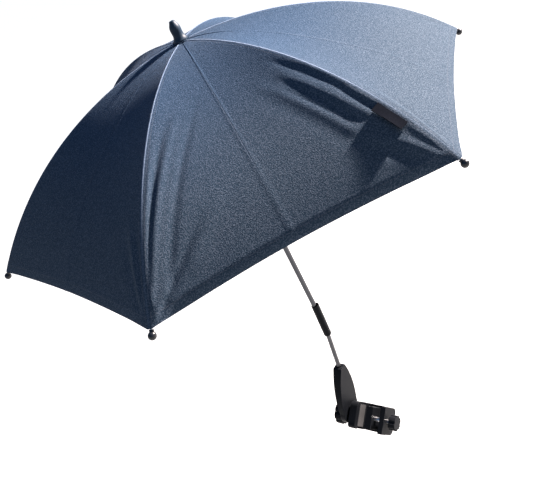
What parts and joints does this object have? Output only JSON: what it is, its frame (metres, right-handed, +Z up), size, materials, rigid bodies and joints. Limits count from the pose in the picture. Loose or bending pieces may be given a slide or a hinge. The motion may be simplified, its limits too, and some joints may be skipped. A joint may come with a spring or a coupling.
{
  "type": "pram parasol",
  "caption": "Folding pram parasol: dark domed cloth canopy on folding ribs, slim shaft with tilt joint and sleeve, wedge holder and a clamp for a pram tube.",
  "frame": {"origin": "middle of the tube that the clamp holds", "axes": "+Z runs up along the upper shaft and canopy axis, -Y faces the pictured front between two ribs, +X is to the right of that front"},
  "size_m": [0.7136, 0.6192, 0.7642],
  "materials": {
    "cover_cloth": "plain weave with a fine grey fleck",
    "label_cloth": "woven tape, blank",
    "black_gloss": "glossy moulded",
    "black_plastic": "satin moulded",
    "bright_tube": "polished plating",
    "satin_tube": "satin drawn tube",
    "steel": "zinc plated",
    "brass": "machined",
    "rubber": "moulded",
    "grey_plastic": "moulded"
  },
  "bodies": {
    "clamp": {"clamp_body": "black_plastic", "clamp_pad": "rubber", "pivot_bolt": "steel", "friction_disc": "grey_plastic", "clamp_nut": "steel"},
    "jaw": {"moving_jaw": "black_plastic", "jaw_pad": "rubber"},
    "screw": {"clamp_screw": "steel", "screw_knob": "black_plastic"},
    "holder": {"pole_holder": "black_plastic", "pivot_washer": "steel"},
    "knob": {"pivot_knob": "black_plastic", "knob_insert": "brass"},
    "pole": {"lower_pole": "satin_tube", "foot_plug": "grey_plastic", "tilt_fork": "steel", "tilt_pin": "steel"},
    "shaft": {"shaft_tube": "bright_tube", "tilt_tongue": "steel", "crown": "black_plastic", "crown_wire": "steel", "finial": "black_gloss", "rosette": "cover_cloth"},
    "sleeve": {"tilt_sleeve": "black_plastic"},
    "catch": {"runner_catch": "steel"},
    "slider": {"runner": "black_plastic"},
    "rib_arm_1": {"rib_1": "steel", "rib_tip_1": "black_gloss", "rib_rivet_1": "steel", "canopy_leaf_1": "cover_cloth"},
    "strut_1": {"stretcher_1": "steel"},
    "rib_arm_2": {"rib_2": "steel", "rib_tip_2": "black_gloss", "rib_rivet_2": "steel", "canopy_leaf_2": "cover_cloth"},
    "strut_2": {"stretcher_2": "steel"},
    "rib_arm_3": {"rib_3": "steel", "rib_tip_3": "black_gloss", "rib_rivet_3": "steel", "canopy_leaf_3": "cover_cloth"},
    "strut_3": {"stretcher_3": "steel"},
    "rib_arm_4": {"rib_4": "steel", "rib_tip_4": "black_gloss", "rib_rivet_4": "steel", "canopy_leaf_4": "cover_cloth"},
    "strut_4": {"stretcher_4": "steel"},
    "rib_arm_5": {"rib_5": "steel", "rib_tip_5": "black_gloss", "rib_rivet_5": "steel", "canopy_leaf_5": "cover_cloth"},
    "strut_5": {"stretcher_5": "steel"},
    "rib_arm_6": {"rib_6": "steel", "rib_tip_6": "black_gloss", "rib_rivet_6": "steel", "canopy_leaf_6": "cover_cloth", "flag_label": "label_cloth"},
    "strut_6": {"stretcher_6": "steel"}
  },
  "joints": [
    {"name": "screw_turn", "type": "hinge", "parent": "jaw", "child": "screw", "pos_m": [0, 0, 0], "axis": [0.6634, -0.745, -0.0697], "range_deg": [-1445, 3245]},
    {"name": "jaw_slide", "type": "slide", "parent": "clamp", "child": "jaw", "axis": [0.6634, -0.745, -0.0697], "range_m": [-0.006, 0.0135]},
    {"name": "holder_tilt", "type": "hinge", "parent": "clamp", "child": "holder", "pos_m": [-0.01987, 0.02231, 0.00209], "axis": [0.6634, -0.745, -0.0697], "range_deg": [-75, 75]},
    {"name": "pivot_knob_turn", "type": "hinge", "parent": "clamp", "child": "knob", "pos_m": [-0.01987, 0.02231, 0.00209], "axis": [0.6634, -0.745, -0.0697], "continuous": true},
    {"name": "pole_swivel", "type": "hinge", "parent": "holder", "child": "pole", "pos_m": [0.00878, 0.03032, 0.18912], "axis": [0.1045, 0, 0.9945], "continuous": true},
    {"name": "shaft_tilt", "type": "hinge", "parent": "pole", "child": "shaft", "pos_m": [0.00878, 0.03032, 0.18912], "axis": [0, -1, 0], "range_deg": [-6, 60]},
    {"name": "sleeve_slide", "type": "slide", "parent": "shaft", "child": "sleeve", "axis": [0, 0, 1], "range_m": [-0.0049, 0.0481]},
    {"name": "catch_press", "type": "slide", "parent": "shaft", "child": "catch", "axis": [-1, 0, 0], "range_m": [0, 0.0026], "stiffness_N_per_m": 300},
    {"name": "runner_slide", "type": "slide", "parent": "shaft", "child": "slider", "axis": [0, 0, -1], "range_m": [0, 0.18812], "deforming": ["canopy_leaf_1", "canopy_leaf_2", "canopy_leaf_3", "canopy_leaf_4", "canopy_leaf_5", "canopy_leaf_6", "runner_catch"]},
    {"name": "rib_fold_1", "type": "hinge", "parent": "shaft", "child": "rib_arm_1", "pos_m": [0.01878, 0.03032, 0.69572], "axis": [0, 1, 0], "range_deg": [-0.05, 63.05], "deforming": ["canopy_leaf_1"]},
    {"name": "stretcher_fold_1", "type": "hinge", "parent": "rib_arm_1", "child": "strut_1", "pos_m": [0.17019, 0.03032, 0.66666], "axis": [0, -1, 0], "range_deg": [-0.05, 102.57]},
    {"name": "rib_fold_2", "type": "hinge", "parent": "shaft", "child": "rib_arm_2", "pos_m": [0.01378, 0.03898, 0.69572], "axis": [-0.866, 0.5, 0], "range_deg": [-0.05, 63.05], "deforming": ["canopy_leaf_2"]},
    {"name": "stretcher_fold_2", "type": "hinge", "parent": "rib_arm_2", "child": "strut_2", "pos_m": [0.08948, 0.17011, 0.66666], "axis": [0.866, -0.5, 0], "range_deg": [-0.05, 102.57]},
    {"name": "rib_fold_3", "type": "hinge", "parent": "shaft", "child": "rib_arm_3", "pos_m": [0.00378, 0.03898, 0.69572], "axis": [-0.866, -0.5, 0], "range_deg": [-0.05, 63.05], "deforming": ["canopy_leaf_3"]},
    {"name": "stretcher_fold_3", "type": "hinge", "parent": "rib_arm_3", "child": "strut_3", "pos_m": [-0.07193, 0.17011, 0.66666], "axis": [0.866, 0.5, 0], "range_deg": [-0.05, 102.57]},
    {"name": "rib_fold_4", "type": "hinge", "parent": "shaft", "child": "rib_arm_4", "pos_m": [-0.00122, 0.03032, 0.69572], "axis": [0, -1, 0], "range_deg": [-0.05, 63.05], "deforming": ["canopy_leaf_4"]},
    {"name": "stretcher_fold_4", "type": "hinge", "parent": "rib_arm_4", "child": "strut_4", "pos_m": [-0.15264, 0.03032, 0.66666], "axis": [0, 1, 0], "range_deg": [-0.05, 102.57]},
    {"name": "rib_fold_5", "type": "hinge", "parent": "shaft", "child": "rib_arm_5", "pos_m": [0.00378, 0.02166, 0.69572], "axis": [0.866, -0.5, 0], "range_deg": [-0.05, 63.05], "deforming": ["canopy_leaf_5"]},
    {"name": "stretcher_fold_5", "type": "hinge", "parent": "rib_arm_5", "child": "strut_5", "pos_m": [-0.07193, -0.10947, 0.66666], "axis": [-0.866, 0.5, 0], "range_deg": [-0.05, 102.57]},
    {"name": "rib_fold_6", "type": "hinge", "parent": "shaft", "child": "rib_arm_6", "pos_m": [0.01378, 0.02166, 0.69572], "axis": [0.866, 0.5, 0], "range_deg": [-0.05, 63.05], "deforming": ["canopy_leaf_6"]},
    {"name": "stretcher_fold_6", "type": "hinge", "parent": "rib_arm_6", "child": "strut_6", "pos_m": [0.08948, -0.10947, 0.66666], "axis": [-0.866, -0.5, 0], "range_deg": [-0.05, 102.57]}
  ],
  "couplings": [
    {"joint": "screw_turn", "follows": "jaw_slide", "rad_per_m": 4188.8},
    {"joint": "sleeve_slide", "follows": "shaft_tilt", "m_per_rad": 0.045837},
    {"joint": "rib_fold_1", "follows": "runner_slide", "rad_per_m": 5.8449},
    {"joint": "stretcher_fold_1", "follows": "runner_slide", "rad_per_m": 9.5118},
    {"joint": "rib_fold_2", "follows": "runner_slide", "rad_per_m": 5.8449},
    {"joint": "stretcher_fold_2", "follows": "runner_slide", "rad_per_m": 9.5118},
    {"joint": "rib_fold_3", "follows": "runner_slide", "rad_per_m": 5.8449},
    {"joint": "stretcher_fold_3", "follows": "runner_slide", "rad_per_m": 9.5118},
    {"joint": "rib_fold_4", "follows": "runner_slide", "rad_per_m": 5.8449},
    {"joint": "stretcher_fold_4", "follows": "runner_slide", "rad_per_m": 9.5118},
    {"joint": "rib_fold_5", "follows": "runner_slide", "rad_per_m": 5.8449},
    {"joint": "stretcher_fold_5", "follows": "runner_slide", "rad_per_m": 9.5118},
    {"joint": "rib_fold_6", "follows": "runner_slide", "rad_per_m": 5.8449},
    {"joint": "stretcher_fold_6", "follows": "runner_slide", "rad_per_m": 9.5118}
  ]
}
